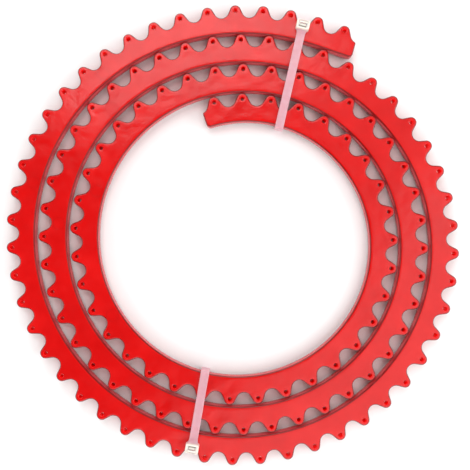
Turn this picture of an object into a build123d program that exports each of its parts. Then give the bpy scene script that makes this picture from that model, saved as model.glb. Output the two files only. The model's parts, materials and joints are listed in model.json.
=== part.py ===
"""Flexible red eyelet strip, coiled flat and held by two nylon cable ties.

The strip is a flat moulded band with a scalloped outer edge.  Every lobe of the
scallop carries one eyelet.  The band is wound edgewise, in its own plane, so that
the lobes point outwards and each lobe's tip nearly touches the next turn out.
Millimetres, +Z up.  The ties pass under the coil, so the coil rests on them.
"""
import os
from math import acos, cos, degrees, exp, hypot, pi, radians, sin

from build123d import *

os.makedirs("parts", exist_ok=True)

# ---- strip ----------------------------------------------------------------
LOBE_PITCH = 15.0          # along the line of the strip that keeps its length
LOBE_COUNT = 132
WELD_EYELETS = (49, 98)    # a new moulded length starts at each of these eyelets
STRIP_THICKNESS = 6.0
TIP_RADIUS = 3.1           # the lobe's round end, centred on its eyelet
NOTCH_RADIUS = 4.05
NOTCH_DEPTH = 3.8          # from the line of eyelets to the notch's floor
BACK_DEPTH = 12.8          # from the line of eyelets to the strip's plain edge
NEUTRAL_DEPTH = 5.0        # from the line of eyelets to the unstretched line
EYELET_RADIUS = 1.1
END_TOP_FILLET = 1.1
END_BACK_FILLET = 2.0
BACK_STEP = 3              # pitches between the points of the plain edge

# ---- coil: the line of eyelets is a spiral, squeezed where the ties hold it --
COIL_RADIUS = 132.1        # at the outermost eyelet
TURN_SPACING = 16.98
COIL_START = 63.77         # direction of the outermost eyelet, degrees
SQUEEZE = 1.59             # inward at the ties, outward halfway between them
SQUEEZE_FADE = 1.42        # turns over which the squeeze dies away inwards
SQUEEZE_ANGLE = 74.7
END_FLARE = 1.0            # the outer end springs away from the turn inside it
FLARE_TURNS = 0.012
COIL_X = 4.15              # the spiral's centre, from the middle of the whole
COIL_Y = -4.11
DRIFT_X = 0.32             # each turn in, the centre moves by this much
DRIFT_Y = 0.21

# ---- cable ties -----------------------------------------------------------
STRAP_WIDTH = 4.7
STRAP_THICKNESS = 1.2
STRAP_BEND = 1.2           # bend radius at the middle of the strap
STRAP_GAP = 0.6            # between the strap and the edges that it goes round
FACE_GAP = 0.05            # between the strap and the strip's flat faces
NOTCH_STANDOFF = 0.95      # a flat strap can't reach the round floor of a notch
HEAD_WIDTH = 7.5
HEAD_LENGTH = 6.6
HEAD_HEIGHT = 4.0
HEAD_LEAN = 1.5            # the outer wall and the slot lean inwards by this much at the top
HEAD_FILLET = 0.5
HEAD_OUTER_WALL = 0.7
SLOT_WIDTH = 4.9
SLOT_CLEARANCE = 0.15      # between the strap and the slot's outer wall
CAVITY_LENGTH = 3.7        # slot and the pawl's room behind it
TAIL_PROUD = 0.3           # the cut tail stands this far out of the head
PAWL_WIDTH = 3.3
PAWL_GAP = 0.14            # between the pawl's teeth and the strap
PAWL_ROOT_RADIUS = 0.5
PAWL_TOOTH = 0.25

UPPER_TIE = {"name": "upper_tie", "notch": 1, "lean": 1.2, "turns_held": 3}
LOWER_TIE = {"name": "lower_tie", "notch": 27, "lean": 2.3, "turns_held": 2}

STRIP_BOTTOM = STRAP_THICKNESS + FACE_GAP
STRIP_TOP = STRIP_BOTTOM + STRIP_THICKNESS
STRAP_TOP_Z = STRIP_TOP + FACE_GAP + STRAP_THICKNESS / 2
HEAD_BOTTOM = STRIP_TOP + FACE_GAP
HEAD_TOP = HEAD_BOTTOM + HEAD_HEIGHT


# ---- the coil's geometry ----------------------------------------------------
def spiral_radius(turn):
    """Distance of the line of eyelets from the coil's centre, at so many turns in."""
    around = radians(COIL_START - SQUEEZE_ANGLE) + 2 * pi * turn
    squeeze = SQUEEZE * exp(-turn / SQUEEZE_FADE) * cos(2 * around)
    flare = END_FLARE * exp(-turn / FLARE_TURNS)
    return COIL_RADIUS - TURN_SPACING * turn - squeeze + flare


def advance(turn, pitches):
    """The turn reached by going so many lobe pitches further in."""
    half = pitches * LOBE_PITCH / (2 * pi * spiral_radius(turn)) / 2
    neutral_radius = spiral_radius(turn + half) - NEUTRAL_DEPTH
    return turn + pitches * LOBE_PITCH / (2 * pi * neutral_radius)


def spiral_point(turn, depth=0.0):
    """A point of the strip, so far inside the line of eyelets."""
    angle = radians(COIL_START) + 2 * pi * turn
    step = 1e-4
    slope = (spiral_radius(turn + step) - spiral_radius(turn - step)) / (4 * pi * step)
    radius = spiral_radius(turn)
    along = Vector(slope * cos(angle) - radius * sin(angle), slope * sin(angle) + radius * cos(angle))
    outward = Vector(along.Y, -along.X).normalized()
    centre = Vector(COIL_X + DRIFT_X * turn, COIL_Y + DRIFT_Y * turn)
    return centre + Vector(radius * cos(angle), radius * sin(angle)) - outward * depth


def outward_at(turn):
    """The direction across the strip, towards its lobes."""
    return (spiral_point(turn) - spiral_point(turn, 1.0)).normalized()


eyelet_turns = [0.0]
while len(eyelet_turns) < LOBE_COUNT:
    eyelet_turns.append(advance(eyelet_turns[-1], 1))
eyelets = [spiral_point(turn) for turn in eyelet_turns]


def notch_turn(notch):
    """The turn at the middle of the notch that follows this eyelet; -1 is the outer end."""
    if notch < 0:
        return advance(0.0, -0.5)
    return advance(eyelet_turns[notch], 0.5)


def notch_centre(notch):
    """Centre of the arc that forms a notch's floor."""
    return spiral_point(notch_turn(notch), NOTCH_DEPTH - NOTCH_RADIUS)


def notch_floor(notch):
    """The lowest point of a notch."""
    return spiral_point(notch_turn(notch), NOTCH_DEPTH)


def flank(eyelet, notch):
    """Ends of the straight flank between a lobe's tip arc and a notch's floor arc."""
    tip = eyelets[eyelet]
    floor = notch_centre(notch)
    across = floor - tip
    turn = degrees(acos((TIP_RADIUS + NOTCH_RADIUS) / across.length))
    if notch >= eyelet:
        turn = -turn
    normal = across.normalized().rotate(Axis.Z, turn)
    return tip + normal * TIP_RADIUS, floor - normal * NOTCH_RADIUS


def arc_middle(centre, start, end):
    """The middle of the short arc between two points of a circle."""
    outwards = ((start + end) * 0.5 - centre).normalized()
    return centre + outwards * NOTCH_RADIUS


def to_3d(point):
    """A plan point at half the strip's height."""
    return Vector(point.X, point.Y, STRIP_BOTTOM + STRIP_THICKNESS / 2)


def strip_length(name, first, last):
    """One moulded length of the strip, from one eyelet to another, on the builder's own plane."""
    start_turn = notch_turn(first - 1)
    end_turn = notch_turn(last)
    with BuildPart() as length:
        with BuildSketch(Plane.XY.offset(STRIP_BOTTOM)):
            with BuildLine():
                before_tip, floor_end = flank(first, first - 1)
                floor_mid = notch_floor(first - 1)
                half_way = arc_middle(notch_centre(first - 1), floor_mid, floor_end)
                ThreePointArc(floor_mid, half_way, floor_end)
                for eyelet in range(first, last + 1):
                    Line(floor_end, before_tip)
                    after_tip, floor_start = flank(eyelet, eyelet)
                    crown = eyelets[eyelet] + outward_at(eyelet_turns[eyelet]) * TIP_RADIUS
                    ThreePointArc(before_tip, crown, after_tip)
                    Line(after_tip, floor_start)
                    floor_mid = notch_floor(eyelet)
                    if eyelet < last:
                        before_tip, floor_end = flank(eyelet + 1, eyelet)
                        ThreePointArc(floor_start, floor_mid, floor_end)
                half_way = arc_middle(notch_centre(last), floor_start, floor_mid)
                ThreePointArc(floor_start, half_way, floor_mid)
                Line(floor_mid, spiral_point(end_turn, BACK_DEPTH))
                steps = round((last - first + 1) / BACK_STEP)
                turns = [end_turn + (start_turn - end_turn) * k / steps for k in range(steps + 1)]
                Spline([spiral_point(turn, BACK_DEPTH) for turn in turns])
                Line(spiral_point(start_turn, BACK_DEPTH), notch_floor(first - 1))
            make_face()
            with Locations(eyelets[first : last + 1]):
                Circle(EYELET_RADIUS, mode=Mode.SUBTRACT)
        extrude(amount=STRIP_THICKNESS)
        uprights = length.edges().filter_by(Axis.Z)
        if first == 0:
            fillet(uprights.sort_by_distance(to_3d(notch_floor(-1)))[0], END_TOP_FILLET)
        if last == LOBE_COUNT - 1:
            fillet(uprights.sort_by_distance(to_3d(notch_floor(last)))[0], END_TOP_FILLET)
        uprights = length.edges().filter_by(Axis.Z)
        if first == 0:
            corner = to_3d(spiral_point(start_turn, BACK_DEPTH))
            fillet(uprights.sort_by_distance(corner)[0], END_BACK_FILLET)
        if last == LOBE_COUNT - 1:
            corner = to_3d(spiral_point(end_turn, BACK_DEPTH))
            fillet(uprights.sort_by_distance(corner)[0], END_BACK_FILLET)
    length.part.label = name
    export_step(length.part, f"parts/{name}.step")
    return length


# ---- the three moulded lengths -------------------------------------------------
starts = (0,) + WELD_EYELETS
ends = WELD_EYELETS + (LOBE_COUNT,)
for name, first, after_last in zip(("outer_length", "middle_length", "inner_length"), starts, ends):
    strip_length(name, first, after_last - 1)


# ---- cable ties ------------------------------------------------------------
def tie_plane(tie):
    """Upright plane of a tie: x runs inwards across the turns, y up, from the notch's floor."""
    floor = notch_floor(tie["notch"])
    inward = outward_at(notch_turn(tie["notch"])).rotate(Axis.Z, tie["lean"]) * -1
    sideways = Vector(0, 0, 1).cross(inward) * -1
    return Plane(origin=(floor.X, floor.Y, 0), x_dir=inward, z_dir=sideways)


def stack_depth(tie):
    """From the notch's floor to the plain edge of the innermost turn, along the tie."""
    plane = tie_plane(tie)
    turn = notch_turn(tie["notch"]) + tie["turns_held"]
    for _ in range(20):
        back = spiral_point(turn, BACK_DEPTH)
        aside = plane.to_local_coords(Vector(back.X, back.Y, 0)).Z
        around = Vector(-sin(radians(COIL_START) + 2 * pi * turn), cos(radians(COIL_START) + 2 * pi * turn))
        turn -= aside / around.dot(plane.z_dir) / (2 * pi * spiral_radius(turn))
    return plane.to_local_coords(Vector(back.X, back.Y, 0)).X


def leaning(x, z):
    """Where a point of an upright head goes as the head leans inwards."""
    return x + HEAD_LEAN * (z - HEAD_BOTTOM) / HEAD_HEIGHT, z


def make_tie(tie):
    """Strap, head and pawl of one tie."""
    plane = tie_plane(tie)
    half = STRAP_THICKNESS / 2
    outer_x = -NOTCH_STANDOFF - half
    inner_x = stack_depth(tie) + STRAP_GAP + half
    slot_x = outer_x - half - SLOT_CLEARANCE
    head_x = slot_x - HEAD_OUTER_WALL
    cavity_end_x = slot_x + CAVITY_LENGTH
    head_end_x = head_x + HEAD_LENGTH

    with BuildPart() as strap:
        with BuildLine(plane) as route:
            FilletPolyline(
                leaning(outer_x, HEAD_TOP + TAIL_PROUD),
                (outer_x, HEAD_BOTTOM),
                (outer_x, half),
                (inner_x, half),
                (inner_x, STRAP_TOP_Z),
                (head_end_x, STRAP_TOP_Z),
                radius=STRAP_BEND,
            )
        tail_end = plane.from_local_coords((*leaning(outer_x, HEAD_TOP + TAIL_PROUD), 0))
        tail_foot = plane.from_local_coords((outer_x, HEAD_BOTTOM, 0))
        with BuildSketch(Plane(origin=tail_end, x_dir=plane.z_dir, z_dir=tail_foot - tail_end)):
            Rectangle(STRAP_WIDTH, STRAP_THICKNESS)
        sweep(path=route.wires()[0])
    strap.part.label = tie["name"] + "_strap"
    export_step(strap.part, f"parts/{strap.part.label}.step")

    with BuildPart() as head:
        with BuildSketch(plane):
            with BuildLine():
                Polyline(
                    (head_x, HEAD_BOTTOM),
                    leaning(head_x, HEAD_TOP),
                    (head_end_x, HEAD_TOP),
                    (head_end_x, HEAD_BOTTOM),
                    close=True,
                )
            make_face()
        extrude(amount=HEAD_WIDTH / 2, both=True)
        uprights = head.edges().filter_by(lambda edge: edge.bounding_box().size.Z > HEAD_HEIGHT / 2)
        fillet(uprights, HEAD_FILLET * 1.5)
        fillet(head.edges().group_by(Axis.Z)[-1], HEAD_FILLET)
        with BuildSketch(plane):
            with BuildLine():
                Polyline(
                    leaning(slot_x, HEAD_BOTTOM - 1),
                    leaning(slot_x, HEAD_TOP + 1),
                    leaning(cavity_end_x, HEAD_TOP + 1),
                    leaning(cavity_end_x, HEAD_BOTTOM - 1),
                    close=True,
                )
            make_face()
        extrude(amount=SLOT_WIDTH / 2, both=True, mode=Mode.SUBTRACT)
    head.part.label = tie["name"] + "_head"
    export_step(head.part, f"parts/{head.part.label}.step")

    face_x = outer_x + half * hypot(HEAD_LEAN, HEAD_HEIGHT) / HEAD_HEIGHT + PAWL_GAP
    root_x = cavity_end_x - PAWL_ROOT_RADIUS - 2 * PAWL_GAP
    root_z = HEAD_BOTTOM + PAWL_ROOT_RADIUS + 3 * PAWL_GAP
    tip_z = HEAD_TOP - 0.6
    tooth_z = (tip_z - root_z) / 4
    with BuildPart() as pawl:
        with BuildSketch(plane):
            with BuildLine():
                teeth = [leaning(face_x, tip_z)]
                for tooth in range(3):
                    teeth.append(leaning(face_x + PAWL_TOOTH, tip_z - (tooth + 1) * tooth_z + 0.1))
                    teeth.append(leaning(face_x, tip_z - (tooth + 1) * tooth_z))
                root_low = leaning(root_x, root_z - PAWL_ROOT_RADIUS)
                root_high = leaning(root_x, root_z + PAWL_ROOT_RADIUS)
                Polyline(*teeth, leaning(root_x - PAWL_ROOT_RADIUS, root_z - PAWL_ROOT_RADIUS), root_low)
                ThreePointArc(root_low, leaning(root_x + PAWL_ROOT_RADIUS, root_z), root_high)
                Polyline(root_high, leaning(face_x + 1.3, tip_z), leaning(face_x, tip_z))
            make_face()
        extrude(amount=PAWL_WIDTH / 2, both=True)
    pawl.part.label = tie["name"] + "_pawl"
    export_step(pawl.part, f"parts/{pawl.part.label}.step")

    hinge = plane.from_local_coords((*leaning(root_x, root_z), 0))
    underside = plane.from_local_coords((inner_x / 2, 0, 0))
    print(f"{tie['name']}: hinge at {hinge}, axis {plane.z_dir * -1}, underside at {underside}")
    print(f"{tie['name']}: strap length {route.wires()[0].length:.1f}")


for tie in (UPPER_TIE, LOWER_TIE):
    make_tie(tie)

print("outer end eyelet", eyelets[0], "inner end eyelet", eyelets[-1])
print("turns", eyelet_turns[-1], "strip length", LOBE_PITCH * LOBE_COUNT)
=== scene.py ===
"""Looks for the coiled eyelet strip: a red moulded strip and two nylon cable ties.

Sizes are in millimetres until a mesh is made.  The strip's route repeats the formula
of the CAD model; the ties are measured from the frame.
"""

import json
from math import acos, atan2, cos, exp, pi, radians, sin, tan

import bmesh
import bpy
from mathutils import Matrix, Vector, noise


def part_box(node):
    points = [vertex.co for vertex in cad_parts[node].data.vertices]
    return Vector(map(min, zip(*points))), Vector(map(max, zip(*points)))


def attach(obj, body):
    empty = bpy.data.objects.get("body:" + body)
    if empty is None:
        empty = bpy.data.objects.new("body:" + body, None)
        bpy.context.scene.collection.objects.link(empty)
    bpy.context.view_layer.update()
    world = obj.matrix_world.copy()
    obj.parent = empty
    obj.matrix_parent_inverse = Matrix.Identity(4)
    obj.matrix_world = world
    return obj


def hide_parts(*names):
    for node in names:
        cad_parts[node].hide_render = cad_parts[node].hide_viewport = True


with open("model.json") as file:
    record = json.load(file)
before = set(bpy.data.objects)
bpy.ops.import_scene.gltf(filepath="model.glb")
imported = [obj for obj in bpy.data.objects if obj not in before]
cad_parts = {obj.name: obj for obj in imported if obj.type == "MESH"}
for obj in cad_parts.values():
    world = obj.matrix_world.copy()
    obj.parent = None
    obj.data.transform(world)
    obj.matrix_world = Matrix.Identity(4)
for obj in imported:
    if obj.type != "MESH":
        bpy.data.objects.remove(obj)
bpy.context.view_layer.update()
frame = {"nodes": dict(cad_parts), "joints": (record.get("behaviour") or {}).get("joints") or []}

MM = 0.001

# ---- strip, as in the CAD model -------------------------------------------------
LOBE_PITCH = 15.0
LOBE_COUNT = 132
LENGTHS = {"outer_length": (0, 48), "middle_length": (49, 97), "inner_length": (98, 131)}
TIP_RADIUS = 3.1
NOTCH_RADIUS = 4.05
NOTCH_DEPTH = 3.8
BACK_DEPTH = 12.8
NEUTRAL_DEPTH = 5.0
EYELET_RADIUS = 1.1
END_TOP_FILLET = 1.1
END_BACK_FILLET = 2.0
COIL_RADIUS = 132.1
TURN_SPACING = 16.98
COIL_START = 63.77
SQUEEZE = 1.59
SQUEEZE_FADE = 1.42
SQUEEZE_ANGLE = 74.7
END_FLARE = 1.0
FLARE_TURNS = 0.012
COIL_X, COIL_Y = 4.15, -4.11
DRIFT_X, DRIFT_Y = 0.32, 0.21

# ---- the strip's moulded finish ---------------------------------------------------
EDGE_RADIUS = 0.8
EYELET_EDGE = 0.25
NECK_DEPTH = 3.3           # mesh line below the eyelet, between a lobe and the band
SINK_DEPTH = 0.07          # dip over the thick root of each lobe
SINK_SPREAD = 3.0
SINK_BELOW_NOTCH = 2.5
WAVE_DEPTH = 0.06
SLOW_WAVE, QUICK_WAVE = 17.0, 6.0
PIN_RADIUS = 3.2           # ejector-pin marks on the band
PIN_DEPTH = 8.2
PIN_FIRST = 4
PIN_EVERY = 5
PINS_PER_LENGTH = 3
PIN_SPOKES = 48
PIN_FLASH = ((0.0, -0.08), (0.0, 0.02), (0.12, 0.04), (0.24, 0.02), (0.24, -0.08), (0.0, -0.08))

# ---- cable ties ---------------------------------------------------------------------
STRAP_THICKNESS = 1.2
STRAP_BEND = 1.2
BEND_STEPS = 10
TOOTH_PITCH = 1.1
TOOTH_DEPTH = 0.3
RAIL_WIDTH = 0.75          # the plain edges beside the teeth
SMOOTH_NECK = 9.0          # the strap has no teeth this near the head
SHOULDER = 2.4             # the strap grows into the head over this length
SHOULDER_WIDTH = 1.2
SHOULDER_HEIGHT = 1.0
ROOT_IN_HEAD = 0.4
HEAD_CORNER = 1.05
HEAD_EDGE = 0.5
HEAD_FOOT = 0.3
HEAD_DRAFT = 0.1
HEAD_OUTER_WALL = 0.7
HEAD_LEAN = 1.5            # inwards, at the top, of the outer wall and the slot
TAIL_PROUD = 0.3
SLOT_WIDTH = 4.9
SLOT_CORNER = 0.3
SLOT_EDGE = 0.25
SLOT_LEAD_IN = 0.2
CAVITY_LENGTH = 3.7
MOUTH_LENGTH = 3.42        # the slot at the top: room for the pawl's tip at full swing
MOUTH_DEPTH = 0.8
BEHIND_PAWL = 0.25         # the slot's growth per mm of depth below that
CHEEK_FROM = 1.4           # the slot narrows beside the pawl, this far in
CHEEK_GAP = 1.95           # half the width left for the pawl
CHEEK_DROP = 0.2
FLOOR_FROM = 1.75          # a web under the pawl, behind the strap's way in
FLOOR_LOW, FLOOR_HIGH = 0.05, 0.25
FLOOR_WIDTH = 3.3
CORNER_STEPS = 5

# ---- view and light -----------------------------------------------------------------
CAMERA_X, CAMERA_Y = 1.19, 0.13
CAMERA_HEIGHT = 308.0      # above the strip's top face
VIEW_WIDTH = 262.2         # what the frame takes in at that face
TABLE_SIZE = 8.0
SKY_STRENGTH = 0.12
KEY_POWER = 2.15
FILL_POWER = 5.2
SIDE_POWER = 0.28
WALL_POWER = 5.0
WALL_DISTANCE, WALL_HEIGHT = 0.95, 0.45

strip_low, strip_high = (corner.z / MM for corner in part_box("outer_length"))


# ---- the coil's geometry --------------------------------------------------------------
def spiral_radius(turn):
    around = radians(COIL_START - SQUEEZE_ANGLE) + 2 * pi * turn
    squeeze = SQUEEZE * exp(-turn / SQUEEZE_FADE) * cos(2 * around)
    flare = END_FLARE * exp(-turn / FLARE_TURNS)
    return COIL_RADIUS - TURN_SPACING * turn - squeeze + flare


def advance(turn, pitches):
    half = pitches * LOBE_PITCH / (2 * pi * spiral_radius(turn)) / 2
    neutral_radius = spiral_radius(turn + half) - NEUTRAL_DEPTH
    return turn + pitches * LOBE_PITCH / (2 * pi * neutral_radius)


def outward_at(turn):
    angle = radians(COIL_START) + 2 * pi * turn
    step = 1e-4
    slope = (spiral_radius(turn + step) - spiral_radius(turn - step)) / (4 * pi * step)
    radius = spiral_radius(turn)
    along = (slope * cos(angle) - radius * sin(angle), slope * sin(angle) + radius * cos(angle))
    return Vector((along[1], -along[0])).normalized()


def spiral_point(turn, depth=0.0):
    angle = radians(COIL_START) + 2 * pi * turn
    radius = spiral_radius(turn)
    centre = Vector((COIL_X + DRIFT_X * turn, COIL_Y + DRIFT_Y * turn))
    return centre + Vector((radius * cos(angle), radius * sin(angle))) - outward_at(turn) * depth


eyelet_turns = [0.0]
while len(eyelet_turns) < LOBE_COUNT:
    eyelet_turns.append(advance(eyelet_turns[-1], 1))
eyelets = [spiral_point(turn) for turn in eyelet_turns]
notch_turns = [advance(turn, 0.5) for turn in eyelet_turns]
sink_roots = [spiral_point(turn, NOTCH_DEPTH + SINK_BELOW_NOTCH) for turn in eyelet_turns]
first_notch_turn = advance(0.0, -0.5)


def notch_turn(notch):
    return first_notch_turn if notch < 0 else notch_turns[notch]


def turned(vector, angle):
    c, s = cos(angle), sin(angle)
    return Vector((c * vector.x - s * vector.y, s * vector.x + c * vector.y))


def arc_points(centre, start, end, count):
    """Points from start to end on the shorter arc about a centre."""
    from_angle = atan2(start.y - centre.y, start.x - centre.x)
    sweep = (atan2(end.y - centre.y, end.x - centre.x) - from_angle + pi) % (2 * pi) - pi
    return arc_sweep(centre, start, sweep, count)


def arc_sweep(centre, start, sweep, count):
    return [centre + turned(start - centre, sweep * k / count) for k in range(count + 1)]


def line_points(start, end, count):
    return [start.lerp(end, k / count) for k in range(count + 1)]


# ---- one pitch of the strip -----------------------------------------------------------
TIP_STEPS, FLANK_STEPS, NOTCH_STEPS, NECK_STEPS = 12, 3, 5, 8
BAND_ROWS, LOBE_RINGS = 9, 4
BACK_STEPS = 2 * NOTCH_STEPS + NECK_STEPS


def flank(eyelet, notch, inset):
    """Top and foot of the flank between a lobe and a notch, for an outline moved inwards by inset."""
    tip = eyelets[eyelet]
    floor = spiral_point(notch_turn(notch), NOTCH_DEPTH - NOTCH_RADIUS)
    across = floor - tip
    lean = acos((TIP_RADIUS + NOTCH_RADIUS) / across.length)
    normal = turned(across.normalized(), -lean if notch >= eyelet else lean)
    return tip + normal * (TIP_RADIUS - inset), floor - normal * (NOTCH_RADIUS + inset), floor


class Cell:
    """One pitch of the strip, from the middle of one notch to the middle of the next.

    Every outline is given for an inset, so that rounded edges are rings of the same points.
    free_end is "start" or "end" if that side closes a free end of the strip, and weld is the
    same for a side that butts against the next moulded length; "" if neither.
    """

    def __init__(self, eyelet, free_end="", weld=""):
        self.eyelet = eyelet
        self.free_end = free_end
        self.weld = weld
        self.turns = (notch_turn(eyelet - 1), notch_turn(eyelet))

    def side(self, which, inset):
        """The cut across the strip at one end of the cell, from the notch's floor to the back."""
        turn = self.turns[which]
        name = ("start", "end")[which]
        outward = outward_at(turn)
        inwards_along = Vector((-outward.y, outward.x)) * (1 if which == 0 else -1)
        top_depth, back_depth = NOTCH_DEPTH + inset, BACK_DEPTH - inset
        if self.free_end != name:
            return line_points(spiral_point(turn, top_depth), spiral_point(turn, back_depth), BAND_ROWS)
        top_fillet, back_fillet = END_TOP_FILLET - inset, END_BACK_FILLET - inset
        face = spiral_point(turn) + inwards_along * inset
        top_centre = face - outward * (top_depth + top_fillet) + inwards_along * top_fillet
        back_centre = face - outward * (back_depth - back_fillet) + inwards_along * back_fillet
        quarter = radians(90) * (1 if which else -1)
        top = arc_sweep(top_centre, top_centre + outward * top_fillet, quarter, 3)
        back = arc_sweep(back_centre, back_centre - inwards_along * back_fillet, quarter, 3)
        middle = line_points(top[-1], back[0], BAND_ROWS - 6)
        return top + middle[1:-1] + back

    def notch_half(self, which, inset):
        """From a flank's foot to the middle of the notch's floor, which is the cell's side."""
        _, foot, centre = flank(self.eyelet, self.eyelet - 1 + which, inset)
        floor_point = self.side(which, inset)[0]
        points = arc_points(centre, foot, floor_point, NOTCH_STEPS)
        miss = floor_point - points[-1]
        return [point + miss * (k / NOTCH_STEPS) ** 2 for k, point in enumerate(points)]

    def lobe(self, inset):
        """Flank, tip and flank, between the two feet."""
        before = flank(self.eyelet, self.eyelet - 1, inset)
        after = flank(self.eyelet, self.eyelet, inset)
        centre = eyelets[self.eyelet]
        up = atan2(before[0].y - centre.y, before[0].x - centre.x)
        down = atan2(after[0].y - centre.y, after[0].x - centre.x)
        sweep = (down - up) % (2 * pi)
        rise = line_points(before[1], before[0], FLANK_STEPS)
        tip = arc_sweep(centre, before[0], sweep, TIP_STEPS)
        fall = line_points(after[0], after[1], FLANK_STEPS)
        return rise[:-1] + tip + fall[1:]

    def neck(self, inset):
        """The line below the eyelet that parts the lobe from the band, foot to foot."""
        lobe = self.lobe(inset)
        below = spiral_point(eyelet_turns[self.eyelet], NECK_DEPTH)
        control = below * 2 - (lobe[0] + lobe[-1]) * 0.5
        points = []
        for k in range(NECK_STEPS + 1):
            t = k / NECK_STEPS
            points.append(lobe[0] * (1 - t) ** 2 + control * 2 * t * (1 - t) + lobe[-1] * t ** 2)
        return points

    def outer_outline(self, inset):
        """The scalloped edge of the cell."""
        return self.notch_half(0, inset)[::-1] + self.lobe(inset)[1:] + self.notch_half(1, inset)[1:]

    def back_outline(self, inset):
        """The plain edge of the cell, between the rounded corners where an end is free."""
        from_turn, to_turn = self.turns
        corner = END_BACK_FILLET / (2 * pi * (spiral_radius(from_turn) - BACK_DEPTH))
        if self.free_end == "start":
            from_turn += corner
        if self.free_end == "end":
            to_turn -= corner
        turns = [from_turn + (to_turn - from_turn) * k / BACK_STEPS for k in range(1, BACK_STEPS)]
        middle = [spiral_point(turn, BACK_DEPTH - inset) for turn in turns]
        return [self.side(0, inset)[-1]] + middle + [self.side(1, inset)[-1]]

    def eyelet_outline(self, inset):
        """The eyelet's circle, a point for each point of the lobe and then of the neck."""
        centre = eyelets[self.eyelet]
        around = self.lobe(EDGE_RADIUS) + self.neck(EDGE_RADIUS)[-2:0:-1]
        return [centre + (point - centre).normalized() * (EYELET_RADIUS + inset) for point in around]


def relief(point):
    """How far the flat faces sink: slow waves left by cooling."""
    slow = noise.noise(Vector((point.x / SLOW_WAVE, point.y / SLOW_WAVE, 3.1)))
    quick = noise.noise(Vector((point.x / QUICK_WAVE, point.y / QUICK_WAVE, 9.7)))
    return WAVE_DEPTH * (0.5 + 0.38 * slow + 0.12 * quick)


def sink(cell, point):
    """The dips over the thick roots of this lobe and its neighbours."""
    near = range(max(cell.eyelet - 1, 0), min(cell.eyelet + 2, LOBE_COUNT))
    return sum(SINK_DEPTH * exp(-((point - sink_roots[k]).length / SINK_SPREAD) ** 2) for k in near)


class MeshMaker:
    """Collects faces by position; points that coincide are merged when the mesh is made."""

    def __init__(self):
        self.points = []
        self.faces = []
        self.materials = []

    def grid(self, rows, material=0):
        """Quads between rows of points."""
        start = len(self.points)
        width = len(rows[0])
        for row in rows:
            self.points.extend(row)
        for i in range(len(rows) - 1):
            for j in range(width - 1):
                a = start + i * width + j
                self.faces.append((a, a + 1, a + width + 1, a + width))
                self.materials.append(material)

    def cap(self, outline, material=0):
        """One face across an open end."""
        start = len(self.points)
        self.points.extend(outline)
        self.faces.append(tuple(range(start, start + len(outline))))
        self.materials.append(material)

    def build(self, name, merge=1e-3):
        mesh = bpy.data.meshes.new(name)
        mesh.from_pydata([(p[0] * MM, p[1] * MM, p[2] * MM) for p in self.points], [], self.faces)
        mesh.polygons.foreach_set("material_index", self.materials)
        solid = bmesh.new()
        solid.from_mesh(mesh)
        bmesh.ops.remove_doubles(solid, verts=solid.verts, dist=merge * MM)
        bmesh.ops.recalc_face_normals(solid, faces=solid.faces)
        solid.to_mesh(mesh)
        solid.free()
        mesh.shade_smooth()
        mesh.set_sharp_from_angle(angle=radians(50))
        piece = bpy.data.objects.new(name, mesh)
        bpy.context.scene.collection.objects.link(piece)
        return piece


def edge_levels(radius):
    """(inset, drop from the face) for each ring of a rounded edge, from the face outwards."""
    steps = 4
    return [(radius * (1 - sin(radians(90 * k / steps))), radius * (1 - cos(radians(90 * k / steps))))
            for k in range(steps + 1)]


def cell_levels(cell, radius):
    """(inset, height function) for each ring from the top face, over the edge, to the underside."""
    def top(drop):
        return lambda p: strip_high - drop - relief(p) - sink(cell, p)

    def under(drop):
        return lambda p: strip_low + drop + relief(p)

    levels = edge_levels(radius)
    upper = [(inset, top(drop)) for inset, drop in levels]
    lower = [(inset, under(drop)) for inset, drop in levels[::-1]]
    return upper + lower


def lift(points, height):
    return [(p.x, p.y, height(p)) for p in points]


def add_cell(maker, cell):
    """Faces of one pitch: both flat faces, the rounded outlines and the eyelet."""
    edges = cell_levels(cell, EDGE_RADIUS)
    maker.grid([lift(cell.outer_outline(inset), height) for inset, height in edges])
    maker.grid([lift(cell.back_outline(inset), height) for inset, height in edges])
    holes = [(inset * EYELET_EDGE / EDGE_RADIUS, height) for inset, height in edges]
    ring = []
    for inset, height in holes:
        circle = cell.eyelet_outline(inset)
        ring.append(lift(circle + circle[:1], height))
    maker.grid(ring, material=1)
    for which in (0, 1):
        name = ("start", "end")[which]
        if name in (cell.free_end, cell.weld):
            maker.grid([lift(cell.side(which, inset), height) for inset, height in edges])

    around = cell.lobe(EDGE_RADIUS) + cell.neck(EDGE_RADIUS)[-2:0:-1]
    hole = cell.eyelet_outline(EYELET_EDGE)
    around, hole = around + around[:1], hole + hole[:1]
    rings = [[h.lerp(a, k / LOBE_RINGS) for h, a in zip(hole, around)] for k in range(LOBE_RINGS + 1)]
    top_line = (cell.notch_half(0, EDGE_RADIUS)[::-1] + cell.neck(EDGE_RADIUS)[1:]
                + cell.notch_half(1, EDGE_RADIUS)[1:])
    back_line = cell.back_outline(EDGE_RADIUS)
    left, right = cell.side(0, EDGE_RADIUS), cell.side(1, EDGE_RADIUS)
    band = coons(top_line, back_line, left, right)
    for rows in (rings, band):
        for level in (0, -1):
            height = edges[level][1]
            maker.grid([lift(row, height) for row in rows])


def coons(top, bottom, left, right):
    """A patch between four boundary lines, as rows from top to bottom."""
    rows = []
    last_row, last_column = len(left) - 1, len(top) - 1
    for i in range(last_row + 1):
        v = i / last_row
        row = []
        for j in range(last_column + 1):
            u = j / last_column
            across = left[i] * (1 - u) + right[i] * u
            down = top[j] * (1 - v) + bottom[j] * v
            corners = ((top[0] * (1 - u) + top[-1] * u) * (1 - v)
                       + (bottom[0] * (1 - u) + bottom[-1] * u) * v)
            row.append(across + down - corners)
        rows.append(row)
    return rows


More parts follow.
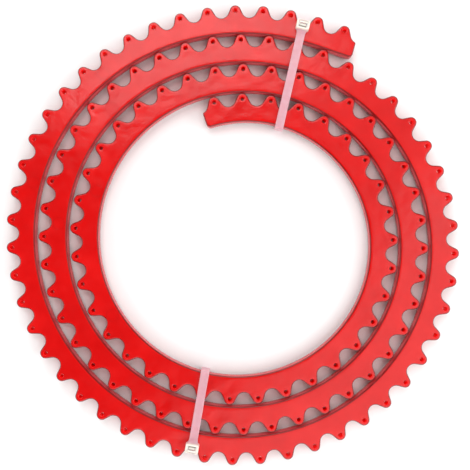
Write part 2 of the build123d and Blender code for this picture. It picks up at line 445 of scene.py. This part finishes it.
def make_length(name, first, last):
    maker = MeshMaker()
    for eyelet in range(first, last + 1):
        free = "start" if eyelet == 0 else "end" if eyelet == LOBE_COUNT - 1 else ""
        weld = ""
        if eyelet == first and eyelet > 0:
            weld = "start"
        if eyelet == last and eyelet < LOBE_COUNT - 1:
            weld = "end"
        add_cell(maker, Cell(eyelet, free, weld))
    return maker.build(name)


def make_pin_marks():
    """Thin flash rings that the mould's ejector pins leave on the band, between lobes."""
    maker = MeshMaker()
    for first, _ in LENGTHS.values():
        for k in range(PINS_PER_LENGTH):
            centre = spiral_point(notch_turn(first + PIN_FIRST + k * PIN_EVERY), PIN_DEPTH)
            rows = []
            for spoke in range(PIN_SPOKES + 1):
                ray = turned(Vector((1, 0)), 2 * pi * (spoke % PIN_SPOKES) / PIN_SPOKES)
                ring = [(centre + ray * (PIN_RADIUS + out), up) for out, up in PIN_FLASH]
                rows.append([(p.x, p.y, strip_high - relief(p) + up) for p, up in ring])
            maker.grid(rows)
    return maker.build("ejector_pin_marks")


# ---- cable ties -----------------------------------------------------------------------
def rounded_route(corners, radius):
    """Stations (position, outside direction, length run) on straight runs joined by left-hand arcs."""
    spacing = TOOTH_PITCH / 6
    stations = []
    position, run = corners[0], 0.0
    for k in range(1, len(corners)):
        heading = (corners[k] - corners[k - 1]).normalized()
        outside = Vector((heading.y, -heading.x))
        last = k == len(corners) - 1
        following = heading if last else (corners[k + 1] - corners[k]).normalized()
        turn = atan2(heading.x * following.y - heading.y * following.x, heading.dot(following))
        stop = corners[k] - heading * radius * tan(turn / 2)
        length = (stop - position).length
        steps = round(length / spacing)
        for i in range(steps):
            stations.append((position.lerp(stop, i / steps), outside, run + length * i / steps))
        run += length
        if last:
            stations.append((stop, outside, run))
            return stations
        centre = stop - outside * radius
        for i in range(BEND_STEPS):
            share = i / BEND_STEPS
            position = centre + turned(stop - centre, turn * share)
            stations.append((position, turned(outside, turn * share), run + radius * turn * share))
        run += radius * turn
        position = centre + turned(stop - centre, turn)


def strap_section(width, raised, tooth):
    """Closed outline (sideways, outwards): smooth outside with low rails, toothed channel inside."""
    side, half = width / 2, STRAP_THICKNESS / 2
    rail = side - RAIL_WIDTH
    top = half + raised
    channel = -half + TOOTH_DEPTH * (1 - tooth)
    right = [(0.0, top - 0.06), (rail - 0.2, top - 0.06), (rail, top - 0.02), (side - 0.24, top)]
    right += [(side - 0.07, top - 0.07), (side, top - 0.24), (side, -half + 0.2), (side - 0.2, -half)]
    right += [(rail, -half), (rail - 0.1, channel)]
    left = [(-w, h) for w, h in right[:0:-1]]
    return right + [(0.0, channel)] + left + right[:1]


def rounded_rectangle(low, high, half_width, radius):
    """Closed outline (inward, sideways) with round corners, the same number of points for any size."""
    corners = ((high - radius, half_width - radius, 0), (low + radius, half_width - radius, 90),
               (low + radius, -half_width + radius, 180), (high - radius, -half_width + radius, 270))
    points = []
    for x, w, start in corners:
        for k in range(CORNER_STEPS + 1):
            angle = radians(start + 90 * k / CORNER_STEPS)
            points.append((x + radius * cos(angle), w + radius * sin(angle)))
    return points + points[:1]


class Tie:
    """A cable tie in its own axes (inward across the turns, up, sideways), measured from its CAD nodes."""

    def __init__(self, name):
        self.name = name
        joint = next(j for j in frame["joints"] if j["child"] == name + "_pawl")
        pivot = Vector(joint["pos_m"]) / MM
        self.sideways = -Vector(joint["axis"])
        self.inward = Vector((0, 0, 1)).cross(self.sideways)
        self.origin = Vector((pivot.x, pivot.y, 0))
        self.strap = self.reach(name + "_strap")
        self.head = self.reach(name + "_head")

    def reach(self, node):
        """The node's lowest and highest place inwards, upwards and sideways."""
        offsets = [v.co / MM - self.origin for v in frame["nodes"][node].data.vertices]
        places = [(o.dot(self.inward), o.z, o.dot(self.sideways)) for o in offsets]
        return [(min(p[axis] for p in places), max(p[axis] for p in places)) for axis in range(3)]

    def lean(self, z):
        bottom, top = self.head[1]
        return HEAD_LEAN * (z - bottom) / (top - bottom)

    def place(self, x, z, w):
        return self.origin + self.inward * x + self.sideways * w + Vector((0, 0, z))

    def route(self):
        """Round the coil, from the cut tail to the head."""
        half = STRAP_THICKNESS / 2
        outer, inner = self.strap[0][0] + half, self.strap[0][1] - half
        head_bottom, head_top = self.head[1]
        tail_z, top = head_top + TAIL_PROUD, head_bottom + half
        corners = ((outer + self.lean(tail_z), tail_z), (outer, head_bottom), (outer, half),
                   (inner, half), (inner, top), (self.head[0][1] - ROOT_IN_HEAD, top))
        return rounded_route([Vector(corner) for corner in corners], STRAP_BEND)

    def make_strap(self):
        maker = MeshMaker()
        stations = self.route()
        whole = stations[-1][2] - ROOT_IN_HEAD
        width = self.strap[2][1] - self.strap[2][0]
        rows = []
        for position, outside, run in stations:
            toothed = run < whole - SMOOTH_NECK
            phase = run / TOOTH_PITCH % 1
            tooth = min(phase / 0.75, (1 - phase) / 0.25) if toothed else 1.0
            swell = max(0.0, 1 - (whole - run) / SHOULDER)
            swell = min(swell, 1.0) ** 2
            section = strap_section(width + SHOULDER_WIDTH * swell, SHOULDER_HEIGHT * swell, tooth)
            lifted = [(position + outside * h, w) for w, h in section]
            rows.append([self.place(point.x, point.y, w) for point, w in lifted])
        maker.grid(rows[:2], 1)
        maker.grid(rows[1:])
        maker.cap(rows[0][:-1], 1)
        maker.cap(rows[-1][:-1])
        return maker.build(self.name + "_strap_moulding")

    def make_head(self):
        """A rounded block with the slot that the tail and the pawl share."""
        maker = MeshMaker()
        (low, high), (bottom, top), (_, half_width) = self.head
        rows = []

        def outside(z):
            return low + self.lean(z), high, half_width

        def slot(z):
            slot_low = low + HEAD_OUTER_WALL + self.lean(z)
            deeper = max(0.0, top - MOUTH_DEPTH - z)
            length = min(MOUTH_LENGTH + BEHIND_PAWL * deeper, CAVITY_LENGTH)
            return slot_low, slot_low + length, SLOT_WIDTH / 2

        def ring(z, inset, outline, radius):
            start, end, half = outline(z)
            points = rounded_rectangle(start + inset, end - inset, half - inset, max(radius - inset, 0.05))
            rows.append([self.place(x, z, w) for x, w in points])

        ring(bottom, -SLOT_LEAD_IN, slot, SLOT_CORNER)
        for k in range(4):
            angle = radians(30 * k)
            ring(bottom + HEAD_FOOT * (1 - cos(angle)), HEAD_FOOT * (1 - sin(angle)), outside, HEAD_CORNER)
        for k in range(6):
            angle = radians(18 * k)
            inset = HEAD_DRAFT + HEAD_EDGE * (1 - cos(angle))
            ring(top - HEAD_EDGE * (1 - sin(angle)), inset, outside, HEAD_CORNER)
        for k in range(4):
            angle = radians(30 * k)
            ring(top - SLOT_EDGE * (1 - cos(angle)), -SLOT_EDGE * (1 - sin(angle)), slot, SLOT_CORNER)
        ring(top - MOUTH_DEPTH, 0, slot, SLOT_CORNER)
        ring(top - MOUTH_DEPTH - (CAVITY_LENGTH - MOUTH_LENGTH) / BEHIND_PAWL, 0, slot, SLOT_CORNER)
        ring(bottom + SLOT_LEAD_IN, 0, slot, SLOT_CORNER)
        ring(bottom, -SLOT_LEAD_IN, slot, SLOT_CORNER)
        maker.grid(rows)

        def block(levels, first, w_low, w_high):
            """A bar in the slot, from this far in to just inside the far wall."""
            layers = []
            for z in levels:
                start, end, _ = slot(z)
                corners = ((start + first, w_low), (end + CHEEK_DROP, w_low),
                           (end + CHEEK_DROP, w_high), (start + first, w_high))
                layers.append([self.place(x, z, w) for x, w in corners])
            maker.grid([layer + layer[:1] for layer in layers])
            for layer in layers:
                maker.cap(layer)

        outer = SLOT_WIDTH / 2 + CHEEK_DROP
        for w_low, w_high in ((-outer, -CHEEK_GAP), (CHEEK_GAP, outer)):
            block((bottom + CHEEK_DROP, top - CHEEK_DROP), CHEEK_FROM, w_low, w_high)
        block((bottom + FLOOR_LOW, bottom + FLOOR_HIGH), FLOOR_FROM, -FLOOR_WIDTH / 2, FLOOR_WIDTH / 2)
        return maker.build(self.name + "_head_moulding")


# ---- materials ------------------------------------------------------------------------
def new_material(name):
    """A node material, its Principled shader and a function that adds a linked node."""
    material = bpy.data.materials.new(name)
    material.use_nodes = True
    tree = material.node_tree
    shader = tree.nodes["Principled BSDF"]

    def add(kind, settings=None, **inputs):
        node = tree.nodes.new(kind)
        for key, value in (settings or {}).items():
            setattr(node, key, value)
        for key, value in inputs.items():
            socket = node.inputs[int(key[1:])] if key[0] == "i" and key[1:].isdigit() else node.inputs[key]
            if isinstance(value, bpy.types.NodeSocket):
                tree.links.new(value, socket)
            else:
                socket.default_value = value
        return node

    return material, shader, add, tree.links.new


def colour_ramp(add, factor, stops):
    ramp = add("ShaderNodeValToRGB", Fac=factor)
    ramp.color_ramp.elements[0].position, ramp.color_ramp.elements[0].color = stops[0]
    ramp.color_ramp.elements[1].position, ramp.color_ramp.elements[1].color = stops[-1]
    for position, colour in stops[1:-1]:
        ramp.color_ramp.elements.new(position).color = colour
    return ramp.outputs["Color"]


def red_plastic():
    """Glossy flexible plastic: uneven pigment, painted shade on the rounded edges and a painted pinkish
    sheen on the upright walls, shallow waves and a fine moulded skin.
    """
    material, shader, add, link = new_material("red_flexible_plastic")
    place = add("ShaderNodeTexCoord").outputs["Object"]
    clouds = add("ShaderNodeTexNoise", Vector=place, Scale=55.0, Detail=3.0, Roughness=0.55)
    pigment = colour_ramp(add, clouds.outputs["Fac"], [
        (0.30, (0.60, 0.0010, 0.0010, 1)),
        (0.52, (0.66, 0.0020, 0.0020, 1)),
        (0.75, (0.73, 0.0060, 0.0055, 1))])
    facing = add("ShaderNodeSeparateXYZ", Vector=add("ShaderNodeTexCoord").outputs["Normal"])
    flat = add("ShaderNodeMath", {"operation": "ABSOLUTE"}, i0=facing.outputs["Z"]).outputs["Value"]
    # Painted shade and sheen by facing: a dark red painted shade on the rounded edges and a pinkish
    # painted reflection on the upright walls; the top face keeps the pigment.
    painted_edge_shade_and_wall_sheen = colour_ramp(add, flat, [
        (0.08, (0.62, 0.05, 0.06, 1)),
        (0.35, (0.20, 0.0030, 0.0030, 1)),
        (0.90, (0.20, 0.0030, 0.0030, 1))])
    on_face = add("ShaderNodeMapRange", Value=flat)
    on_face.inputs["From Min"].default_value, on_face.inputs["From Max"].default_value = 0.93, 0.998
    body = add("ShaderNodeMixRGB", Fac=on_face.outputs["Result"], Color1=painted_edge_shade_and_wall_sheen, Color2=pigment)
    link(body.outputs["Color"], shader.inputs["Base Color"])
    smear = add("ShaderNodeTexNoise", Vector=place, Scale=140.0, Detail=4.0, Roughness=0.6)
    gloss = add("ShaderNodeMapRange", Value=smear.outputs["Fac"])
    gloss.inputs["From Min"].default_value, gloss.inputs["From Max"].default_value = 0.3, 0.7
    gloss.inputs["To Min"].default_value, gloss.inputs["To Max"].default_value = 0.13, 0.27
    link(gloss.outputs["Result"], shader.inputs["Roughness"])
    ripple = add("ShaderNodeTexNoise", Vector=place, Scale=260.0, Detail=3.0, Roughness=0.5)
    skin = add("ShaderNodeTexNoise", Vector=place, Scale=2600.0, Detail=2.0, Roughness=0.6)
    coarse = add("ShaderNodeBump", Height=ripple.outputs["Fac"], Strength=0.8, Distance=0.00015)
    fine = add("ShaderNodeBump", Height=skin.outputs["Fac"], Strength=0.12, Distance=0.00003,
               Normal=coarse.outputs["Normal"])
    link(fine.outputs["Normal"], shader.inputs["Normal"])
    shader.inputs["IOR"].default_value = 1.5
    shader.inputs["Subsurface Weight"].default_value = 0.5
    shader.inputs["Subsurface Radius"].default_value = (1.0, 0.08, 0.07)
    shader.inputs["Subsurface Scale"].default_value = 0.0025
    return material


def eyelet_painted_glow():
    """The eyelets' walls: a brighter red than the body's pigment is painted glow, on top of the real glow
    of light that soaks through the lobe.
    """
    material, shader, add, link = new_material("red_plastic_bore_painted_glow")
    place = add("ShaderNodeTexCoord").outputs["Object"]
    clouds = add("ShaderNodeTexNoise", Vector=place, Scale=900.0, Detail=2.0, Roughness=0.5)
    # Brighter than the body's pigment: painted glow in the eyelets.
    link(colour_ramp(add, clouds.outputs["Fac"], [
        (0.30, (0.90, 0.0010, 0.0010, 1)),
        (0.70, (0.96, 0.0020, 0.0020, 1))]), shader.inputs["Base Color"])
    shader.inputs["Roughness"].default_value = 0.5
    shader.inputs["Subsurface Weight"].default_value = 1.0
    shader.inputs["Subsurface Radius"].default_value = (1.0, 0.02, 0.02)
    shader.inputs["Subsurface Scale"].default_value = 0.004
    return material


def milky_nylon(name, cloudy, clear, soak, see_through):
    """Natural nylon between two colours (for the strap, pink painted red glow): light soaks in so many
    metres, and some goes through.
    """
    material, shader, add, link = new_material(name)
    place = add("ShaderNodeTexCoord").outputs["Object"]
    clouds = add("ShaderNodeTexNoise", Vector=place, Scale=420.0, Detail=3.0, Roughness=0.5)
    link(colour_ramp(add, clouds.outputs["Fac"], [
        (0.30, cloudy),
        (0.70, clear)]), shader.inputs["Base Color"])
    scuff = add("ShaderNodeTexNoise", Vector=place, Scale=1500.0, Detail=3.0, Roughness=0.6)
    gloss = add("ShaderNodeMapRange", Value=scuff.outputs["Fac"])
    gloss.inputs["To Min"].default_value, gloss.inputs["To Max"].default_value = 0.26, 0.44
    link(gloss.outputs["Result"], shader.inputs["Roughness"])
    bump = add("ShaderNodeBump", Height=scuff.outputs["Fac"], Strength=0.15, Distance=0.00005)
    link(bump.outputs["Normal"], shader.inputs["Normal"])
    shader.inputs["IOR"].default_value = 1.53
    shader.inputs["Transmission Weight"].default_value = see_through
    shader.inputs["Subsurface Weight"].default_value = 0.7
    shader.inputs["Subsurface Radius"].default_value = (1.0, 0.9, 0.8)
    shader.inputs["Subsurface Scale"].default_value = soak
    return material


def white_table():
    material, shader, add, link = new_material("white_table")
    place = add("ShaderNodeTexCoord").outputs["Object"]
    grain = add("ShaderNodeTexNoise", Vector=place, Scale=30.0, Detail=2.0)
    link(colour_ramp(add, grain.outputs["Fac"], [
        (0.35, (0.92, 0.92, 0.915, 1)),
        (0.65, (0.94, 0.94, 0.935, 1))]), shader.inputs["Base Color"])
    shader.inputs["Roughness"].default_value = 0.6
    return material


# ---- camera, light and table -------------------------------------------------------------
def set_camera():
    data = bpy.data.cameras.new("camera")
    camera = bpy.data.objects.new("camera", data)
    bpy.context.scene.collection.objects.link(camera)
    camera.location = (CAMERA_X * MM, CAMERA_Y * MM, (strip_high + CAMERA_HEIGHT) * MM)
    data.sensor_width = 36.0
    data.lens = data.sensor_width * CAMERA_HEIGHT / VIEW_WIDTH
    data.clip_start = 0.01
    bpy.context.scene.camera = camera


def area_light(name, location, target, size, power):
    data = bpy.data.lights.new(name, "AREA")
    data.shape = "RECTANGLE"
    data.size, data.size_y = size
    data.energy = power
    light = bpy.data.objects.new(name, data)
    bpy.context.scene.collection.objects.link(light)
    light.location = location
    light.rotation_euler = (Vector(target) - Vector(location)).to_track_quat("-Z", "Y").to_euler()


def set_stage():
    bpy.context.scene.view_settings.view_transform = "Standard"
    bpy.ops.mesh.primitive_plane_add(size=TABLE_SIZE, location=(0, 0, 0))
    table = bpy.context.object
    table.name = "table"
    table.data.materials.append(white_table())
    world = bpy.data.worlds.new("studio")
    bpy.context.scene.world = world
    world.use_nodes = True
    sky = world.node_tree.nodes["Background"]
    sky.inputs["Color"].default_value = (1, 1, 1, 1)
    sky.inputs["Strength"].default_value = SKY_STRENGTH
    area_light("softbox", (-0.11, 0.45, 0.72), (0, 0.02, 0), (0.55, 0.40), KEY_POWER)
    area_light("fill", (0.36, -0.37, 0.70), (0, 0, 0), (1.75, 0.7), FILL_POWER)
    area_light("side", (0.34, 0.21, 0.70), (0, 0, 0), (0.42, 0.42), SIDE_POWER)
    for quarter in range(4):
        ray = turned(Vector((WALL_DISTANCE, 0)), radians(90 * quarter))
        area_light(f"wall_{quarter}", (ray.x, ray.y, WALL_HEIGHT), (0, 0, 0), (1.4, 0.5), WALL_POWER)


# ---- the model ---------------------------------------------------------------------------
def show(piece, materials, slot, *nodes):
    for material in materials:
        piece.data.materials.append(material)
    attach(piece, "coil")
    if nodes:
        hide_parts(*nodes)


set_camera()
set_stage()

red, bore_painted_glow = red_plastic(), eyelet_painted_glow()
for length, (first, last) in LENGTHS.items():
    show(make_length(length + "_strip", first, last), (red, bore_painted_glow), "strip_red", length)
show(make_pin_marks(), (red,), "strip_red")

# The strap's pink is painted red glow: the nylon is cream like the head, and the pink stands for the red
# strip's light showing through and bouncing in; the partial transmission lets some real red through as
# well.
strap_nylon_painted_red_glow = milky_nylon("thin_nylon_painted_red_glow", (0.90, 0.43, 0.49, 1), (0.94, 0.51, 0.57, 1), 0.0025, 0.25)
head_nylon = milky_nylon("thick_nylon", (0.88, 0.81, 0.71, 1), (0.92, 0.86, 0.77, 1), 0.001, 0.0)
for tie in (Tie("upper_tie"), Tie("lower_tie")):
    show(tie.make_strap(), (strap_nylon_painted_red_glow, head_nylon), "tie_nylon", tie.name + "_strap")
    show(tie.make_head(), (head_nylon,), "tie_nylon", tie.name + "_head")
    pawl = frame["nodes"][tie.name + "_pawl"]
    for slot in pawl.material_slots:
        slot.material = head_nylon
